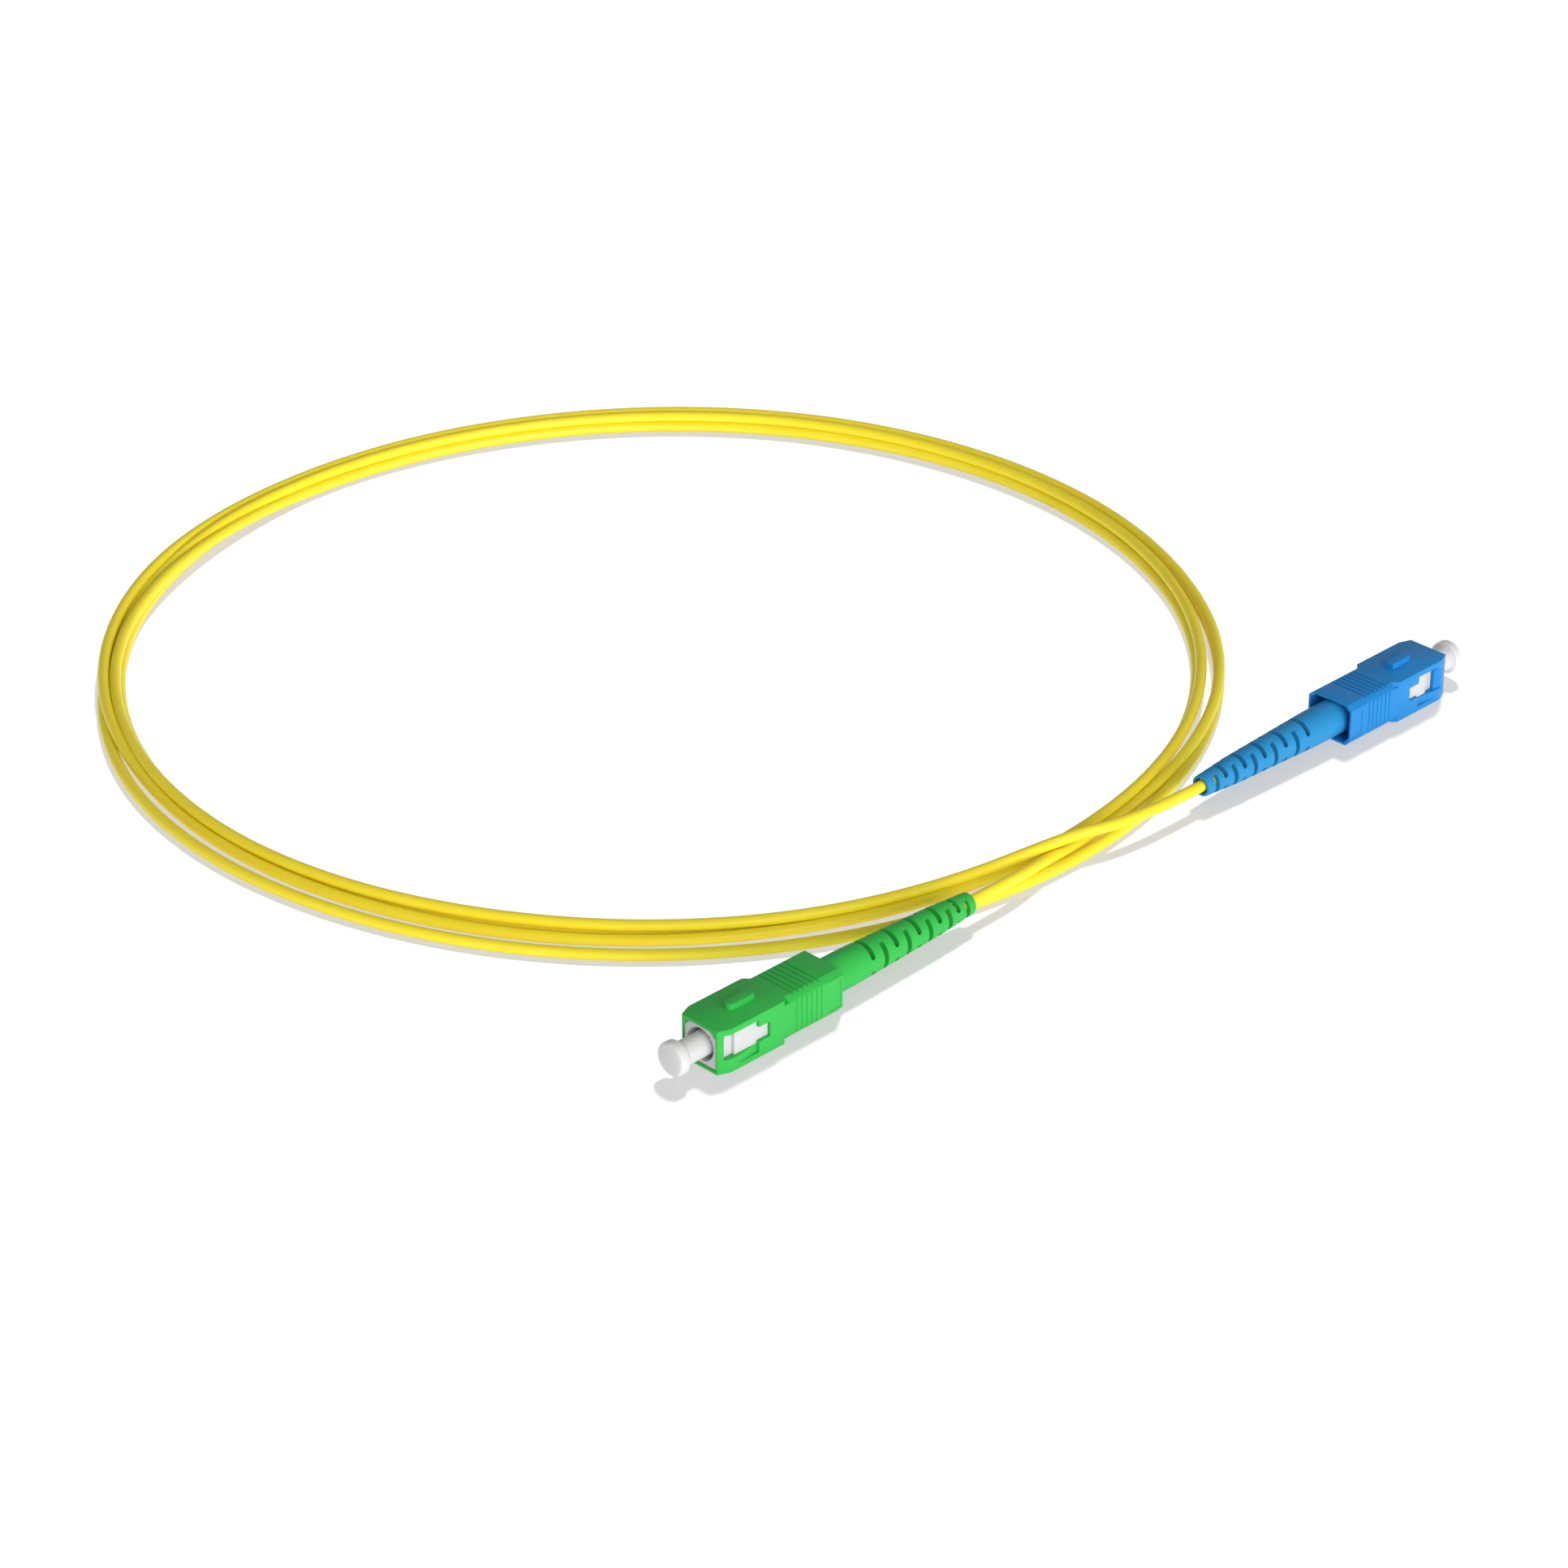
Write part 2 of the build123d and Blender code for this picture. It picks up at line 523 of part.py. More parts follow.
def corner_radii(points):
    """The largest even arc at each corner: 0.45 of the shorter run over tan(half the turn)."""
    radii = []
    for before, corner, after in zip(points, points[1:], points[2:]):
        run_in, run_out = Vector(*corner) - Vector(*before), Vector(*after) - Vector(*corner)
        turn = math.radians(run_in.get_angle(run_out))
        radii.append(0.45 * min(run_in.length, run_out.length) / math.tan(turn / 2))
    return radii


def make_lead(name, points):
    """A length of cable from a boot's mouth down into the coil, which holds its end."""
    radii = corner_radii(points)
    path = FilletPolyline(*points, radius=radii)
    start = Plane(origin=path @ 0, z_dir=path % 0)
    tube = sweep(start * Circle(CABLE_DIA / 2), path=path)
    expected = math.pi * CABLE_DIA ** 2 / 4 * path.length
    print(f"{name}: arc radii", [round(r, 1) for r in radii],
          f"length {path.length:.1f}, volume {tube.volume:.2f} against {expected:.2f}")
    return tube


blue_route = [(MOUTH_X, -PLUG_OFFSET, HALF_HEIGHT)] + BLUE_LEAD_POINTS
green_route = [(-MOUTH_X, PLUG_OFFSET, HALF_HEIGHT)] + GREEN_LEAD_POINTS
parts["cable_coil"] = make_coil()
parts["blue_cable_lead"] = make_lead("blue_cable_lead", blue_route)
parts["green_cable_lead"] = make_lead("green_cable_lead", green_route)

os.makedirs("parts", exist_ok=True)
for name, shape in parts.items():
    export_step(shape, f"parts/{name}.step")
    print(f"{name}: {len(shape.solids())} solid(s), {shape.volume:.3f} mm3")
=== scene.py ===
import math

import bmesh
import bpy
from mathutils import Matrix, Vector


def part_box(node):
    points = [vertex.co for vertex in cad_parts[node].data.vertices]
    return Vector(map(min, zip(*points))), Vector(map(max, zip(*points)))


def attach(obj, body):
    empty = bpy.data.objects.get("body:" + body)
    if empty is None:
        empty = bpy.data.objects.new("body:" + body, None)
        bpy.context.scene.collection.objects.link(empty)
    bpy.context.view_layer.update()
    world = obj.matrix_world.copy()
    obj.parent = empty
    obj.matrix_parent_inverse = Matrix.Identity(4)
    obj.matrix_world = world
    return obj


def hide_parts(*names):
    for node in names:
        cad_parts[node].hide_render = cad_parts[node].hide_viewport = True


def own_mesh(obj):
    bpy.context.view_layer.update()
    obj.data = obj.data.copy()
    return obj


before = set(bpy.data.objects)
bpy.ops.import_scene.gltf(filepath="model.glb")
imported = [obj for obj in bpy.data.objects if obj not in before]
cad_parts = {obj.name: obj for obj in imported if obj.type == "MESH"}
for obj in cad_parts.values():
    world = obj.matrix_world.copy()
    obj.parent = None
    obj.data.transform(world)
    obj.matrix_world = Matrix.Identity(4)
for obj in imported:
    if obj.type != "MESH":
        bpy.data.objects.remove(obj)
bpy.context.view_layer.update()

MM = 0.001

# ---------------------------------------------------------------- floor, lights and camera
# A plain pale sweep with a soft key from behind on the right, which lays a pale shadow towards the
# front, and a low, wide fill from the front right that brightens the plugs' near sides. The camera
# looks down along the diagonal between +X and +Y.
FLOOR_SIZE = 8.0
FLOOR_DROP = 0.02 * MM
AMBIENT = 0.40
FLOOR_GLOW = 0.53
KEY_DIRECTION = Vector((0.848, 0.566, 1.35))
KEY_STRENGTH = 5.2
KEY_SOFTNESS = math.radians(7)
FILL_DIRECTION = Vector((-0.25, -1.0, 0.15))
FILL_STRENGTH = 3.7
FILL_SOFTNESS = math.radians(55)
CAMERA_TARGET = Vector((-15.37, 51.39, 0)) * MM
CAMERA_DISTANCE = 806.6 * MM
CAMERA_AZIMUTH = math.radians(45)
CAMERA_ELEVATION = math.radians(29.33)
CAMERA_LENS = 115.29
CAMERA_SENSOR = 36.0


def linear(hex_colour):
    """An sRGB hex colour as the linear RGBA that a shader takes."""
    channels = [int(hex_colour[i:i + 2], 16) / 255 for i in (0, 2, 4)]
    return [c / 12.92 if c <= 0.04045 else ((c + 0.055) / 1.055) ** 2.4 for c in channels] + [1.0]


def add_node(material, kind, inputs, **settings):
    """Adds a node to a material, with its settings, and its inputs as values or as links."""
    new = material.node_tree.nodes.new(kind)
    for name, value in settings.items():
        setattr(new, name, value)
    for name, value in inputs.items():
        if isinstance(value, bpy.types.NodeSocket):
            material.node_tree.links.new(value, new.inputs[name])
        else:
            new.inputs[name].default_value = value
    return new


def new_material(name):
    """An empty node material: its output and its Principled shader are linked already."""
    material = bpy.data.materials.new(name)
    material.use_nodes = True
    return material, material.node_tree.nodes["Principled BSDF"]


def new_piece(name, shape, material):
    """A finished bmesh as an object at the origin."""
    mesh = bpy.data.meshes.new(name)
    shape.to_mesh(mesh)
    shape.free()
    piece = bpy.data.objects.new(name, mesh)
    bpy.context.scene.collection.objects.link(piece)
    mesh.materials.append(material)
    return piece


paper, paper_shader = new_material("matt paper sweep")
paper_shader.inputs["Base Color"].default_value = linear("959595")
paper_shader.inputs["Roughness"].default_value = 0.9
paper_shader.inputs["Specular IOR Level"].default_value = 0.1
paper_shader.inputs["Emission Color"].default_value = linear("ffffff")
paper_shader.inputs["Emission Strength"].default_value = FLOOR_GLOW

sweep = bmesh.new()
bmesh.ops.create_grid(sweep, x_segments=1, y_segments=1, size=FLOOR_SIZE / 2)
bmesh.ops.translate(sweep, verts=sweep.verts, vec=(0, 0, -FLOOR_DROP))
floor = new_piece("floor", sweep, paper)

world = bpy.data.worlds.new("studio")
world.use_nodes = True
world.node_tree.nodes["Background"].inputs["Color"].default_value = linear("ffffff")
world.node_tree.nodes["Background"].inputs["Strength"].default_value = AMBIENT
bpy.context.scene.world = world
bpy.context.scene.view_settings.view_transform = "Standard"


def add_sun(name, direction, strength, softness, floor_state):
    """A distant soft light, whose light falls either on the floor only or on all but the floor."""
    light = bpy.data.lights.new(name, "SUN")
    light.energy = strength
    light.angle = softness
    lamp = bpy.data.objects.new(name, light)
    lamp.rotation_euler = direction.to_track_quat("Z", "Y").to_euler()
    bpy.context.scene.collection.objects.link(lamp)
    lit = bpy.data.collections.new(name + " receivers")
    lit.objects.link(floor)
    lit.collection_objects[0].light_linking.link_state = floor_state
    lamp.light_linking.receiver_collection = lit
    return lamp


add_sun("key", KEY_DIRECTION, KEY_STRENGTH, KEY_SOFTNESS, "INCLUDE")
add_sun("fill", FILL_DIRECTION, FILL_STRENGTH, FILL_SOFTNESS, "EXCLUDE")

camera_data = bpy.data.cameras.new("camera")
camera_data.sensor_width = CAMERA_SENSOR
camera_data.lens = CAMERA_LENS
camera_data.clip_start = 0.01
camera = bpy.data.objects.new("camera", camera_data)
towards = Vector((
    math.cos(CAMERA_AZIMUTH) * math.cos(CAMERA_ELEVATION),
    math.sin(CAMERA_AZIMUTH) * math.cos(CAMERA_ELEVATION),
    -math.sin(CAMERA_ELEVATION),
))
camera.location = CAMERA_TARGET - towards * CAMERA_DISTANCE
camera.rotation_euler = towards.to_track_quat("-Z", "Y").to_euler()
bpy.context.scene.collection.objects.link(camera)
bpy.context.scene.camera = camera

# ---------------------------------------------------------------- cable
# 1.9 mm simplex cable: a smooth extruded flame-retardant jacket over aramid yarn and one buffered
# fibre. It leaves the green boot, makes four loose turns that climb over each other, and goes over
# the others into the blue boot.
CABLE_DIA = 1.9
CENTRE_Y = 95.6
FLOOR_LEVEL = CABLE_DIA / 2
GREEN_LEAD = [(-26.3, 0.64, 3.7), (-19.6, 0.64, 3.7), (-12.6, 1.2, 3.2), (-5.8, 2.6, 2.4)]
BLUE_LEAD = [(5.8, 0.8, 4.0), (12.6, -0.3, 3.9), (19.6, -0.64, 3.75), (26.3, -0.64, 3.7)]
TURN_STEP = 15                # degrees between the points of a turn

# where the cable lies in each turn: bearing from +X, distance from the centre, height of its middle
FIRST_TURN = [
    (-90, 91.7, 1.3), (-80, 91.0, 0.97), (-72, 92.0, 1.6), (-62, 93.2, 2.78), (-45, 93.1, 2.87),
    (-30, 92.45, 2.77), (0, 92.65, 2.68), (30, 93.1, 2.6), (60, 92.55, 2.6), (90, 92.5, 2.6),
    (112, 93.15, 2.75), (122, 92.95, 3.2), (135, 93.15, 2.75), (150, 93.1, 2.7), (165, 92.5, 1.1),
    (180, 92.65, 0.95), (210, 92.7, 0.95), (225, 92.4, 0.95), (240, 91.8, 1.15), (255, 91.5, 1.5),
]
SECOND_TURN = [
    (-90, 90.5, 2.35), (-75, 90.1, 2.5), (-60, 90.1, 2.7), (-30, 90.05, 2.78), (0, 90.5, 2.7),
    (30, 91.15, 2.6), (60, 90.65, 2.6), (90, 90.65, 2.65), (101, 90.95, 2.8), (112, 91.35, 2.65),
    (123, 92.0, 1.8), (135, 92.4, 0.95), (150, 93.9, 0.95), (165, 95.45, 0.95), (180, 96.2, 0.95),
    (210, 96.7, 0.95), (225, 96.6, 0.95), (240, 96.1, 0.95), (255, 95.3, 0.95),
]
THIRD_TURN = [
    (-90, 94.4, 0.95), (-75, 93.65, 0.95), (-60, 93.25, 0.95), (-30, 92.9, 0.95), (0, 92.4, 0.95),
    (30, 92.2, 0.95), (60, 91.95, 0.95), (90, 91.75, 0.95), (112, 90.35, 0.95),
    (135, 90.5, 0.95), (180, 90.35, 0.95), (225, 90.4, 0.95), (240, 90.0, 0.95), (255, 89.6, 0.95),
]
FOURTH_TURN = [
    (-90, 89.1, 0.95), (-75, 89.4, 0.95), (-60, 89.35, 0.95), (-15, 89.55, 0.95), (0, 90.15, 0.95),
    (20, 90.5, 0.95), (60, 90.05, 0.95), (90, 89.85, 0.95), (101, 89.4, 1.7), (112, 89.35, 2.55),
    (123, 90.2, 2.8), (135, 91.1, 2.65), (150, 91.25, 2.65), (180, 91.5, 2.5), (210, 91.0, 2.75),
    (240, 90.9, 2.78), (255, 90.4, 2.9), (263, 90.8, 3.6), (270, 91.9, 4.1),
]


def turn_points():
    """Evenly spaced points along the four turns, between the places given for each turn."""
    places = [(bearing + 360 * number, out, up)
              for number, turn in enumerate([FIRST_TURN, SECOND_TURN, THIRD_TURN, FOURTH_TURN])
              for bearing, out, up in turn]
    points = []
    for k in range(int((places[-1][0] - places[0][0]) / TURN_STEP) + 1):
        bearing = places[0][0] + k * TURN_STEP
        after = next(i for i, place in enumerate(places) if place[0] >= bearing and i > 0)
        (start, out_a, up_a), (end, out_b, up_b) = places[after - 1], places[after]
        share = (bearing - start) / (end - start)
        out = (out_a + share * (out_b - out_a)) / math.cos(math.radians(TURN_STEP / 2))
        up = up_a + share * (up_b - up_a)
        angle = math.radians(bearing)
        points.append((out * math.cos(angle), CENTRE_Y + out * math.sin(angle), up))
    return points


jacket, jacket_shader = new_material("extruded yellow cable jacket")
# a satin skin with a faint lengthwise unevenness from the die, and a warm glow where light goes in
JACKET_IOR = 1.52
object_place = add_node(jacket, "ShaderNodeTexCoord", {}).outputs["Object"]
blotches = add_node(jacket, "ShaderNodeTexNoise",
                    {"Vector": object_place, "Scale": 1 / (6 * MM), "Detail": 3.0})
tint = add_node(jacket, "ShaderNodeMix", {
    "Factor": blotches.outputs["Fac"],
}, data_type="RGBA")
tint.inputs[6].default_value = linear("f4dd26")
tint.inputs[7].default_value = linear("f9e734")
jacket.node_tree.links.new(tint.outputs[2], jacket_shader.inputs["Base Color"])
skin = add_node(jacket, "ShaderNodeTexNoise",
                {"Vector": object_place, "Scale": 1 / (0.35 * MM), "Detail": 2.0})
skin_bump = add_node(jacket, "ShaderNodeBump", {
    "Height": skin.outputs["Fac"], "Strength": 0.12, "Distance": 0.03 * MM,
})
jacket.node_tree.links.new(skin_bump.outputs["Normal"], jacket_shader.inputs["Normal"])
gloss = add_node(jacket, "ShaderNodeMapRange", {
    "Value": skin.outputs["Fac"], "To Min": 0.36, "To Max": 0.46,
})
jacket.node_tree.links.new(gloss.outputs["Result"], jacket_shader.inputs["Roughness"])
jacket_shader.inputs["IOR"].default_value = JACKET_IOR
jacket_shader.inputs["Specular IOR Level"].default_value = 0.35
jacket_shader.inputs["Subsurface Weight"].default_value = 0.5
jacket_shader.inputs["Subsurface Radius"].default_value = (1.0, 0.45, 0.08)
jacket_shader.inputs["Subsurface Scale"].default_value = 0.6 * MM

curve = bpy.data.curves.new("cable", "CURVE")
curve.dimensions = "3D"
curve.bevel_depth = FLOOR_LEVEL * MM
curve.bevel_resolution = 6
curve.resolution_u = 10
spline = curve.splines.new("NURBS")
route = GREEN_LEAD + turn_points() + BLUE_LEAD
spline.points.add(len(route) - 1)
for point, place in zip(spline.points, route):
    point.co = [c * MM for c in place] + [1]
spline.order_u = 3
spline.use_endpoint_u = True
cable = bpy.data.objects.new("cable", curve)
bpy.context.scene.collection.objects.link(cable)
curve.materials.append(jacket)
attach(cable, "cord")
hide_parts("cable_coil", "blue_cable_lead", "green_cable_lead")

# ---------------------------------------------------------------- outer housings
# The coloured push-pull grips, moulded in PBT with a fine satin spark finish. Every edge has a small
# radius from the mould, and the surface carries faint flow marks.
HOUSING_EDGE = 0.06           # radius of the mould, mm
HOUSING_COLOURS = {"blue": ("1a7fc6", "2088ce"), "green": ("2fb046", "36b84e")}
GRAIN = 0.12                  # spark-eroded grain, mm
FLOW = 4.0                    # flow marks, mm


def moulded(name, light_hex, dark_hex, roughness, grain_strength, ior=1.55, gloss=0.18):
    """A moulded plastic: a fine even grain, and colour and gloss that drift by a few per cent."""
    material, shader = new_material(name)
    place = add_node(material, "ShaderNodeTexCoord", {}).outputs["Object"]
    flow = add_node(material, "ShaderNodeTexNoise",
                    {"Vector": place, "Scale": 1 / (FLOW * MM), "Detail": 2.0, "Distortion": 0.6})
    grain = add_node(material, "ShaderNodeTexNoise",
                     {"Vector": place, "Scale": 1 / (GRAIN * MM), "Detail": 2.0})
    colour = add_node(material, "ShaderNodeMix", {"Factor": flow.outputs["Fac"]}, data_type="RGBA")
    colour.inputs[6].default_value = linear(dark_hex)
    colour.inputs[7].default_value = linear(light_hex)
    material.node_tree.links.new(colour.outputs[2], shader.inputs["Base Color"])
    sheen = add_node(material, "ShaderNodeMapRange", {
        "Value": flow.outputs["Fac"], "To Min": roughness - 0.05, "To Max": roughness + 0.05,
    })
    material.node_tree.links.new(sheen.outputs["Result"], shader.inputs["Roughness"])
    bump = add_node(material, "ShaderNodeBump", {
        "Height": grain.outputs["Fac"], "Strength": grain_strength, "Distance": 0.02 * MM,
    })
    material.node_tree.links.new(bump.outputs["Normal"], shader.inputs["Normal"])
    shader.inputs["IOR"].default_value = ior
    shader.inputs["Specular IOR Level"].default_value = gloss
    return material


def rounded_copy(node, name, material, edge, sharp=30):
    """A copy of a CAD piece with its flat faces joined up and its sharp edges rounded."""
    shape = bmesh.new()
    shape.from_mesh(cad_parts[node].data)
    bmesh.ops.remove_doubles(shape, verts=shape.verts, dist=0.001 * MM)
    bmesh.ops.dissolve_limit(shape, angle_limit=math.radians(1), verts=shape.verts,
                             edges=shape.edges)
    corners = [e for e in shape.edges
               if len(e.link_faces) == 2 and e.calc_face_angle() > math.radians(sharp)]
    bmesh.ops.bevel(shape, geom=corners, offset=edge * MM, offset_type="OFFSET", segments=2,
                    profile=0.5, affect="EDGES", clamp_overlap=True, material=-1)
    piece = new_piece(name, shape, material)
    smooth_rounds(piece)
    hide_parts(node)
    return piece


def smooth_rounds(piece):
    """Shades curved faces as smooth and keeps the real edges crisp."""
    piece.data.shade_smooth()
    piece.data.set_sharp_from_angle(angle=math.radians(35))


for colour, (dark, light) in HOUSING_COLOURS.items():
    plastic = moulded(f"{colour} moulded PBT", light, dark, 0.40, 0.25)
    housing = rounded_copy(f"{colour}_outer_housing", f"{colour}_grip", plastic, HOUSING_EDGE)
    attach(housing, f"{colour}_housing")

# ---------------------------------------------------------------- plug frames
# The white inner bodies that the adapter's latches catch. They are moulded in glass-filled PBT, so
# their skin is dull and slightly mottled.
FRAME_EDGE = 0.08
white_pbt = moulded("white glass-filled PBT", "cdcdce", "c7c7c9", 0.5, 0.35)
for colour in HOUSING_COLOURS:
    body = rounded_copy(f"{colour}_plug_frame", f"{colour}_inner_body", white_pbt, FRAME_EDGE)
    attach(body, "cord")

# ---------------------------------------------------------------- boots
# The bend reliefs: tapered sleeves of soft TPE over the crimp and the cable, with slots in turn on
# the top and bottom and on the sides, so that the boot bends evenly. They are moulded in one piece.
BOOT_VISIBLE = 31.95
# distance behind the housing, and radius there
BOOT_PROFILE = [(0, 3.0), (5.0, 3.0), (24.5, 2.325), (BOOT_VISIBLE, 1.8)]
BOOT_LIP = 0.25               # round at its mouth
CRIMP_DEPTH = 6.0             # wide bore over the crimp sleeve
BORE_TAPER = 1.5              # from the wide bore to the cable's
BOOT_BORE = 1.35
CRIMP_RADIUS = 2.1
SLOT_FIRST = 8.5
SLOT_PITCH = (2.7, 2.07)      # first and last
SLOT_COUNT = 10
SLOT_WIDTH = 0.9
SLOT_REACH = 70               # degrees each side of its middle
SLOT_STEPS = 28
SLOT_TIP = 0.12               # least share of a slot's width at its ends
CUT_IN, CUT_OUT = 0.25, 1.0   # a cutter's reach past the boot's bore and surface
ROUND_STEPS = 96
BOOT_COLOURS = {"blue": ("2485be", "2b90c9"), "green": ("2fb046", "38ba50")}


def plug_place(colour):
    """Where a plug drawn with its front face at x = 0 and its body along -X belongs."""
    low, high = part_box(f"{colour}_outer_housing")
    axis_low, axis_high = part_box(f"{colour}_ferrule")
    axis = (axis_low + axis_high) / 2
    faces_plus_x = axis.x > 0
    face = high.x if faces_plus_x else low.x
    turn = Matrix.Rotation(0 if faces_plus_x else math.pi, 4, "Z")
    return Matrix.Translation((face, axis.y, axis.z)) @ turn


def lathe(outline, steps=ROUND_STEPS):
    """A closed solid of revolution about the X axis, from (x, radius) corners in mm."""
    shape = bmesh.new()
    ring = [shape.verts.new((x * MM, 0, radius * MM)) for x, radius in outline]
    edges = [shape.edges.new(pair) for pair in zip(ring, ring[1:] + ring[:1])]
    bmesh.ops.spin(shape, geom=ring + edges, cent=(0, 0, 0), axis=(1, 0, 0),
                   angle=2 * math.pi, steps=steps, use_merge=True)
    bmesh.ops.remove_doubles(shape, verts=shape.verts, dist=0.0005 * MM)
    # the spin gives its faces in no fixed order, so they are put in the order of their corners
    shape.verts.index_update()
    in_order = sorted(shape.faces, key=lambda face: sorted(vert.index for vert in face.verts))
    place = {face: number for number, face in enumerate(in_order)}
    shape.faces.sort(key=lambda face: place[face])
    bmesh.ops.recalc_face_normals(shape, faces=shape.faces)
    return shape


def arc(centre_x, centre_r, radius, start, end, steps=6):
    """Points of a quarter round in an outline, with angles in degrees from +X towards the rim."""
    return [(centre_x + radius * math.cos(math.radians(start + (end - start) * k / steps)),
             centre_r + radius * math.sin(math.radians(start + (end - start) * k / steps)))
            for k in range(steps + 1)]


def boot_radius(behind):
    """The boot's outer radius at a distance behind the housing."""
    for (start, wide), (end, narrow) in zip(BOOT_PROFILE, BOOT_PROFILE[1:]):
        if behind <= end:
            return wide + (behind - start) / (end - start) * (narrow - wide)


def slot_cutter(shape, x, middle, radius):
    """Adds a round-ended slot cutter that lies round the X axis to a bmesh."""
    made = bmesh.ops.create_grid(shape, x_segments=SLOT_STEPS, y_segments=1, size=1)
    half = SLOT_WIDTH / 2
    reach = math.radians(SLOT_REACH)
    for vert in made["verts"]:
        along, side = vert.co.x, vert.co.y
        angle = along * reach
        to_end = (reach - abs(angle)) * radius
        width = half if to_end >= half else math.sqrt(max(half ** 2 - (half - to_end) ** 2, 0))
        width = max(width, half * SLOT_TIP)
        turn = math.radians(middle) + angle
        inner = (BOOT_BORE - CUT_IN) * MM
        vert.co = ((x + side * width) * MM, inner * math.cos(turn), inner * math.sin(turn))
    faces = list(dict.fromkeys(face for vert in made["verts"] for face in vert.link_faces))
    grown = bmesh.ops.extrude_face_region(shape, geom=faces)
    stretch = (BOOT_PROFILE[0][1] + CUT_OUT) / (BOOT_BORE - CUT_IN)
    for vert in (g for g in grown["geom"] if isinstance(g, bmesh.types.BMVert)):
        vert.co.y *= stretch
        vert.co.z *= stretch


def cut_away(shape, cutters, name):
    """The bmesh with the cutters taken out of it."""
    empty = bpy.data.materials.new("cut")
    body, tool = new_piece(name, shape, empty), new_piece(name + " cutters", cutters, empty)
    body.data.materials.clear()
    tool.data.materials.clear()
    cut = body.modifiers.new("cut", "BOOLEAN")
    cut.operation, cut.solver, cut.object = "DIFFERENCE", "EXACT", tool
    cut.use_self = False
    result = bmesh.new()
    result.from_object(body, bpy.context.evaluated_depsgraph_get())
    for used in (body, tool):
        bpy.data.objects.remove(used)
    bpy.data.materials.remove(empty)
    return result


def make_boot(colour, material):
    """One boot, drawn along -X behind its plug's front face."""
    low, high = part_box(f"{colour}_boot")
    length = (high.x - low.x) / MM
    house_low, house_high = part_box(f"{colour}_outer_housing")
    start = (house_high.x - house_low.x) / MM      # the boot shows from the housing's end
    end = start + BOOT_VISIBLE
    hidden = end - length
    outline = [(-hidden, CRIMP_RADIUS), (-hidden, BOOT_PROFILE[0][1])]
    outline += [(-start - behind, radius) for behind, radius in BOOT_PROFILE[1:-1]]
    outline += arc(-end + BOOT_LIP, BOOT_PROFILE[-1][1] - BOOT_LIP, BOOT_LIP, 90, 180)
    outline += [(-end, BOOT_BORE), (-hidden - CRIMP_DEPTH - BORE_TAPER, BOOT_BORE),
                (-hidden - CRIMP_DEPTH, CRIMP_RADIUS)]
    shape = lathe(outline)
    cutters = bmesh.new()
    depth = start + SLOT_FIRST
    for k in range(SLOT_COUNT):
        radius = boot_radius(depth - start)
        for middle in ((90, 270) if k % 2 == 0 else (0, 180)):
            slot_cutter(cutters, -depth, middle, radius)
        depth += SLOT_PITCH[0] + k / (SLOT_COUNT - 2) * (SLOT_PITCH[1] - SLOT_PITCH[0])
    bmesh.ops.recalc_face_normals(cutters, faces=cutters.faces)
    shape = cut_away(shape, cutters, f"{colour} boot")
    bmesh.ops.transform(shape, matrix=plug_place(colour), verts=shape.verts)
    boot = new_piece(f"{colour}_bend_relief", shape, material)
    smooth_rounds(boot)
    return boot


for colour, (dark, light) in BOOT_COLOURS.items():
    rubber = moulded(f"{colour} soft TPE", light, dark, 0.52, 0.3, ior=1.5)
    boot = make_boot(colour, rubber)
    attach(boot, "cord")
    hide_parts(f"{colour}_boot")

# ---------------------------------------------------------------- dust caps
# Soft translucent polyethylene caps that slip over the ferrules. They are moulded, milky all
# through, with a smooth head.
CAP_FRONT = 6.3               # in front of the housing
HEAD_RADIUS = 2.75
HEAD_LENGTH = 1.9
HEAD_ROUND = 0.5
HEAD_DOME = 0.25              # rise of its front face
HEAD_REAR_ROUND = 0.15
HEAD_STEP = 0.25              # from the head down to the shoulder
END_ROUND = 0.2               # at the open end
BORE_CHAMFER = 0.1
SHOULDER_LENGTH = 1.0
NECK_RADIUS = 1.975
CAP_DEPTH = 5.5
CAP_BORE = 1.27
CAP_BLIND = 0.6

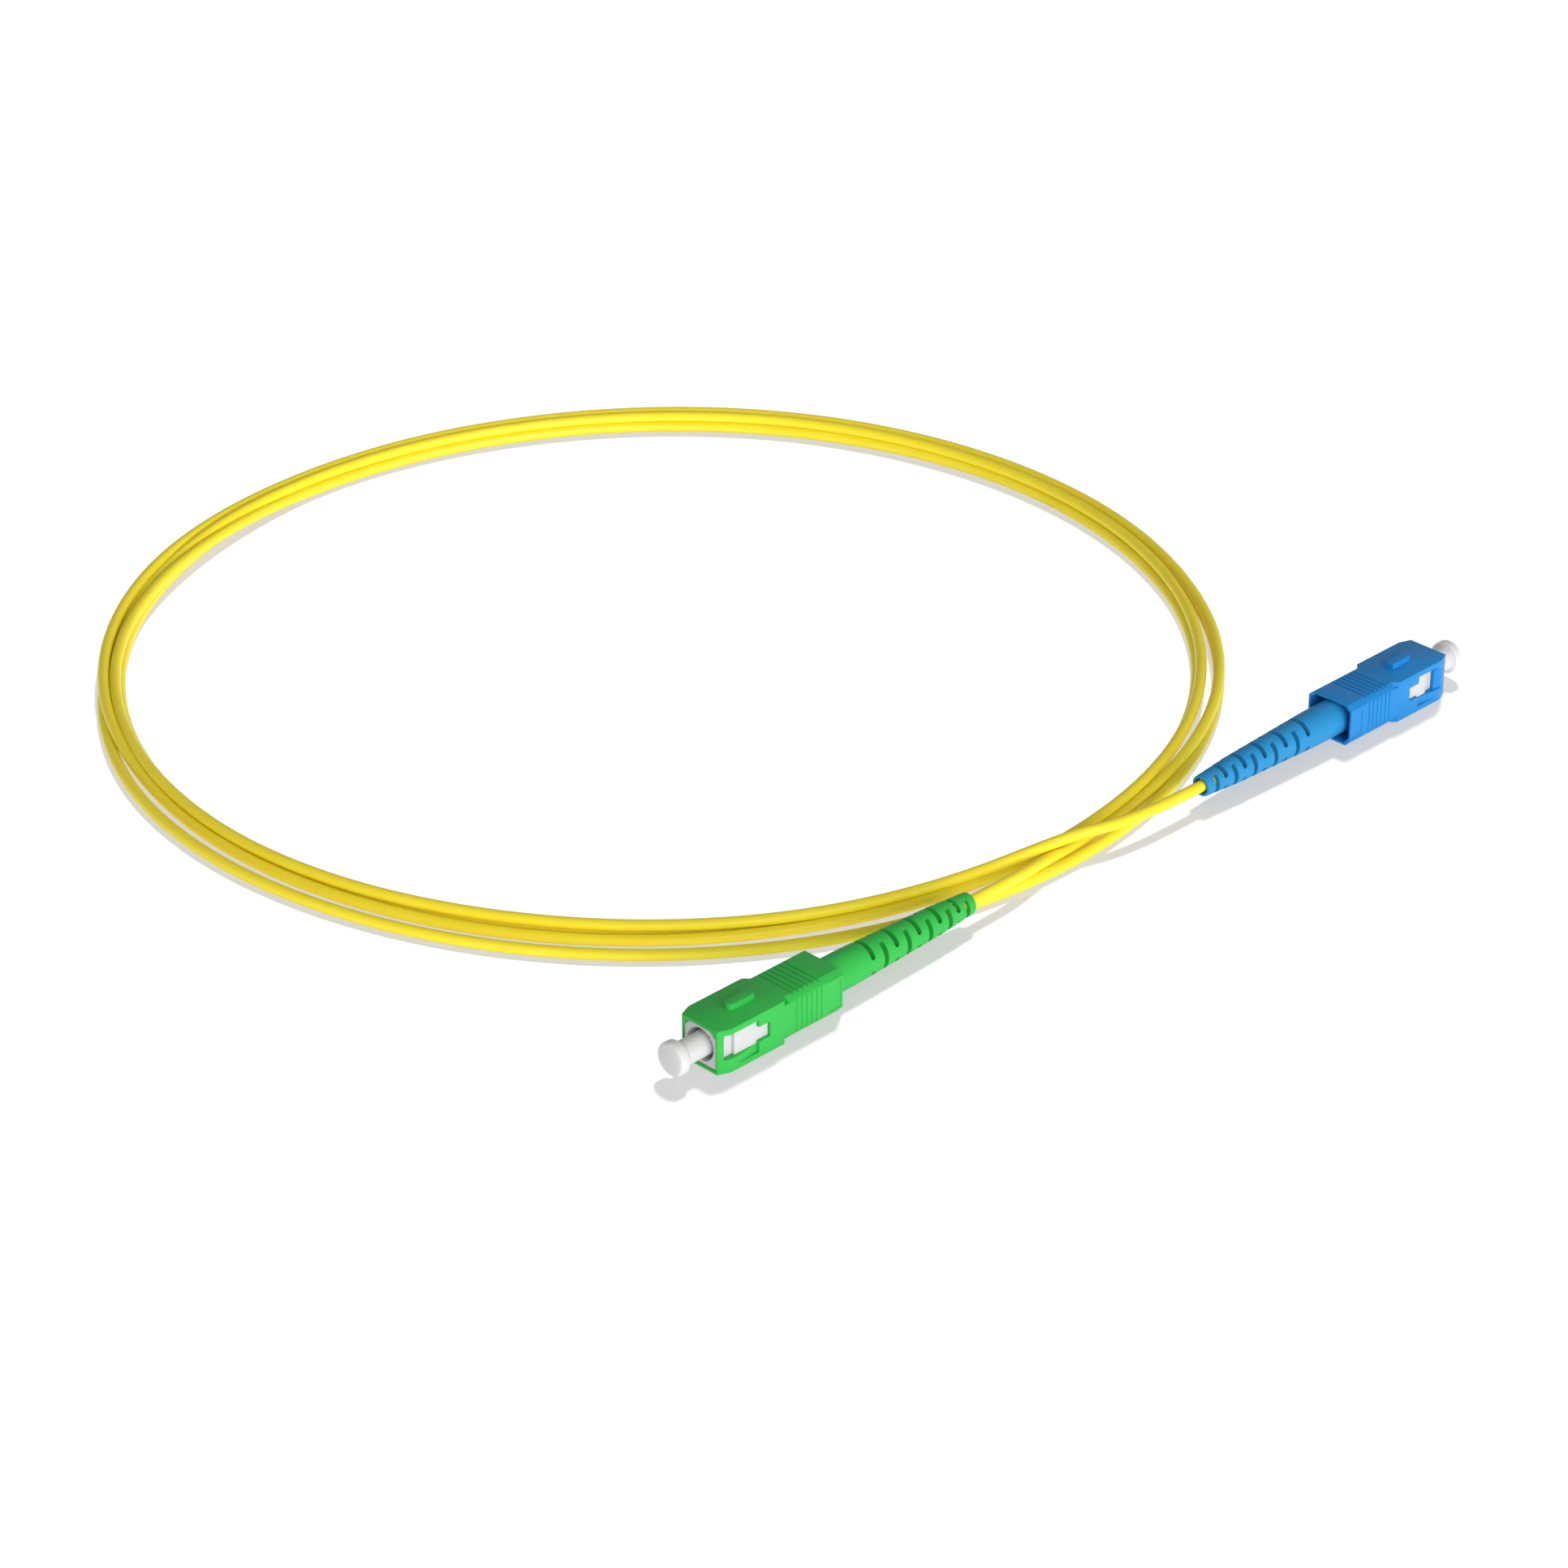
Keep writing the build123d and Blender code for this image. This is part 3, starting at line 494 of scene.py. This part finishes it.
cap_plastic = moulded("milky polyethylene", "d6d6d6", "d0d0d0", 0.42, 0.15, ior=1.51)
cap_shader = cap_plastic.node_tree.nodes["Principled BSDF"]
cap_shader.inputs["Subsurface Weight"].default_value = 0.8
cap_shader.inputs["Subsurface Radius"].default_value = (1.0, 1.0, 1.0)
cap_shader.inputs["Subsurface Scale"].default_value = 2.0 * MM
for colour in HOUSING_COLOURS:
    head_rear = CAP_FRONT - HEAD_LENGTH
    rim = HEAD_RADIUS - HEAD_ROUND
    outline = [(CAP_FRONT - HEAD_DOME * (k / 8) ** 2, rim * k / 8) for k in range(8)]
    outline += arc(CAP_FRONT - HEAD_DOME - HEAD_ROUND, rim, HEAD_ROUND, 0, 90, 8)
    outline += arc(head_rear + HEAD_REAR_ROUND, HEAD_RADIUS - HEAD_REAR_ROUND, HEAD_REAR_ROUND,
                   90, 170, 4)
    drop = HEAD_RADIUS - HEAD_STEP - NECK_RADIUS
    outline += [(head_rear - SHOULDER_LENGTH * k / 6, NECK_RADIUS + drop * (1 - k / 6) ** 2)
                for k in range(7)]
    outline += arc(-CAP_DEPTH + END_ROUND, NECK_RADIUS - END_ROUND, END_ROUND, 90, 180, 4)
    outline += [(-CAP_DEPTH, CAP_BORE + BORE_CHAMFER), (-CAP_DEPTH + BORE_CHAMFER, CAP_BORE),
                (-CAP_BLIND, CAP_BORE), (-CAP_BLIND, 0)]
    shape = lathe(outline)
    bmesh.ops.transform(shape, matrix=plug_place(colour), verts=shape.verts)
    cap = new_piece(f"{colour}_cap_cover", shape, cap_plastic)
    smooth_rounds(cap)
    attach(cap, f"{colour}_cap")
    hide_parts(f"{colour}_dust_cap")

# ---------------------------------------------------------------- pieces inside the plugs
# Metal and ceramic parts that carry the fibre: they keep their shape from the frame and take the
# finish of the real material, turned, drawn, fired or woven.
TURNING = 0.05                # spacing of the tool marks, mm


def plated(name, colour_hex, roughness):
    """A turned and plated metal part, with fine rings from the tool."""
    material, shader = new_material(name)
    place = add_node(material, "ShaderNodeTexCoord", {}).outputs["Object"]
    rings = add_node(material, "ShaderNodeTexWave",
                     {"Vector": place, "Scale": 1 / (TURNING * MM) / 6.3, "Distortion": 1.0},
                     wave_type="BANDS", bands_direction="X")
    bump = add_node(material, "ShaderNodeBump", {
        "Height": rings.outputs["Fac"], "Strength": 0.15, "Distance": 0.005 * MM,
    })
    material.node_tree.links.new(bump.outputs["Normal"], shader.inputs["Normal"])
    cloud = add_node(material, "ShaderNodeTexNoise", {"Vector": place, "Scale": 1 / (1.0 * MM)})
    dull = add_node(material, "ShaderNodeMapRange", {
        "Value": cloud.outputs["Fac"], "To Min": roughness - 0.06, "To Max": roughness + 0.06,
    })
    material.node_tree.links.new(dull.outputs["Result"], shader.inputs["Roughness"])
    shader.inputs["Base Color"].default_value = linear(colour_hex)
    shader.inputs["Metallic"].default_value = 1.0
    return material


def fibrous(name, colour_hex, thread):
    """Yarn laid along the plug: fine parallel threads."""
    material, shader = new_material(name)
    place = add_node(material, "ShaderNodeTexCoord", {}).outputs["Object"]
    drawn = add_node(material, "ShaderNodeMapping", {"Vector": place, "Scale": (0.08, 1.0, 1.0)})
    threads = add_node(material, "ShaderNodeTexNoise",
                       {"Vector": drawn.outputs["Vector"], "Scale": 1 / (thread * MM)})
    bump = add_node(material, "ShaderNodeBump", {
        "Height": threads.outputs["Fac"], "Strength": 0.7, "Distance": 0.05 * MM,
    })
    material.node_tree.links.new(bump.outputs["Normal"], shader.inputs["Normal"])
    shader.inputs["Base Color"].default_value = linear(colour_hex)
    shader.inputs["Roughness"].default_value = 0.7
    shader.inputs["Sheen Weight"].default_value = 0.3
    return material


zirconia = moulded("polished zirconia", "f3f2ee", "eeece6", 0.12, 0.03, ior=2.15)
nickel = plated("nickel-plated turned brass", "c9c7c2", 0.28)
crimp_metal = plated("plated crimp copper", "cfc3a8", 0.34)
spring_steel = plated("drawn spring steel", "b4b6ba", 0.25)
buffer_plastic = moulded("nylon fibre buffer", "f4f1e8", "efeadf", 0.4, 0.1)
tube_plastic = moulded("PTFE guide tube", "f2f2f2", "ebebeb", 0.35, 0.1)
yarn = fibrous("aramid yarn", "e3c04a", 0.15)
INNER_FINISH = {
    "ferrule": zirconia, "ferrule_flange": nickel, "fibre": buffer_plastic,
    "guide_tube": tube_plastic, "stop_ring": nickel,
    "aramid_yarn": yarn, "crimp_sleeve": crimp_metal, "cable_end": jacket,
}
for colour in HOUSING_COLOURS:
    for piece, finish in INNER_FINISH.items():
        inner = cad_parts[f"{colour}_{piece}"]
        inner.data.materials.clear()
        inner.data.materials.append(finish)

# ---------------------------------------------------------------- springs
# A coil spring of drawn steel wire sits between each stop ring and its ferrule's flange.
for colour in HOUSING_COLOURS:
    node = f"{colour}_spring"
    shape = bmesh.new()
    shape.from_mesh(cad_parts[node].data)
    bmesh.ops.remove_doubles(shape, verts=shape.verts, dist=0.0005 * MM)
    spring = new_piece(f"{colour}_coil_spring", shape, spring_steel)
    smooth_rounds(spring)
    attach(spring, "cord")
    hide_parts(node)
    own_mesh(spring)
